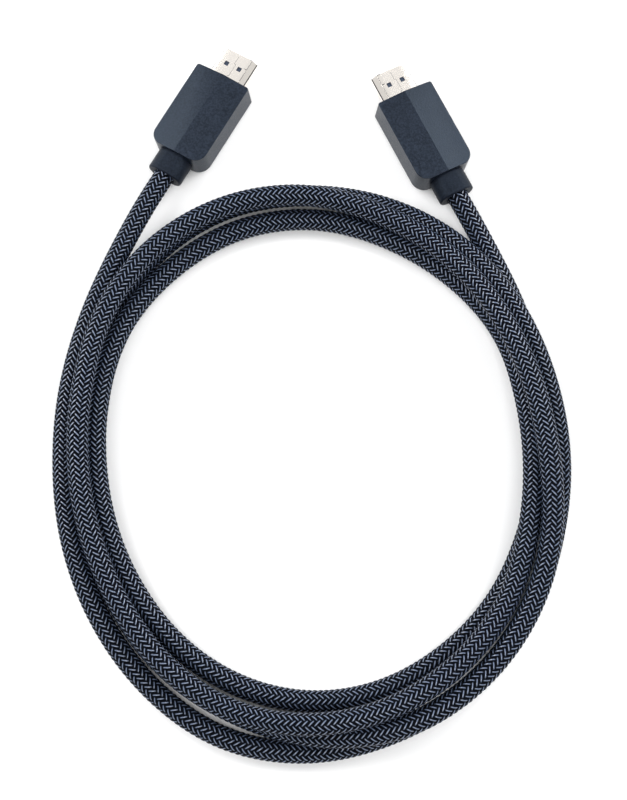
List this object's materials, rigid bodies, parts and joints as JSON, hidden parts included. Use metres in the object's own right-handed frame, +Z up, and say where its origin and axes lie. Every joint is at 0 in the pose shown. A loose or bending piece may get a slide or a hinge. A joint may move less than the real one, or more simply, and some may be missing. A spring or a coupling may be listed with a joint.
{
  "type": "hdmi cable",
  "caption": "HDMI cable with a braided jacket, lying in a loose oval coil, with a moulded plug and a short round-ended strain relief collar at each end.",
  "frame": {"origin": "centre of the coiled cable's outline on the surface it lies on", "axes": "+Z up from the surface, +Y towards the end of the coil where both plugs lie, +X to the right seen from above with the plugs at the top"},
  "size_m": [0.175, 0.2512, 0.0214],
  "materials": {
    "braid": "woven nylon braid, near black with slate highlights",
    "housing": "soft-touch moulded, matte slate grey",
    "collar": "moulded, matte slate grey",
    "shell": "bright warm nickel plating on folded sheet",
    "insulator": "moulded black",
    "contact": "gold plated"
  },
  "bodies": {
    "root": {"braided_cord": "braid", "left_housing": "housing", "left_strain_relief_collar": "collar", "left_connector_shell": "shell", "left_contact_insulator": "insulator", "left_contact_01": "contact", "left_contact_02": "contact", "left_contact_03": "contact", "left_contact_04": "contact", "left_contact_05": "contact", "left_contact_06": "contact", "left_contact_07": "contact", "left_contact_08": "contact", "left_contact_09": "contact", "left_contact_10": "contact", "left_contact_11": "contact", "left_contact_12": "contact", "left_contact_13": "contact", "left_contact_14": "contact", "left_contact_15": "contact", "left_contact_16": "contact", "left_contact_17": "contact", "left_contact_18": "contact", "left_contact_19": "contact", "right_housing": "housing", "right_strain_relief_collar": "collar", "right_connector_shell": "shell", "right_contact_insulator": "insulator", "right_contact_01": "contact", "right_contact_02": "contact", "right_contact_03": "contact", "right_contact_04": "contact", "right_contact_05": "contact", "right_contact_06": "contact", "right_contact_07": "contact", "right_contact_08": "contact", "right_contact_09": "contact", "right_contact_10": "contact", "right_contact_11": "contact", "right_contact_12": "contact", "right_contact_13": "contact", "right_contact_14": "contact", "right_contact_15": "contact", "right_contact_16": "contact", "right_contact_17": "contact", "right_contact_18": "contact", "right_contact_19": "contact"}
  },
  "joints": []
}
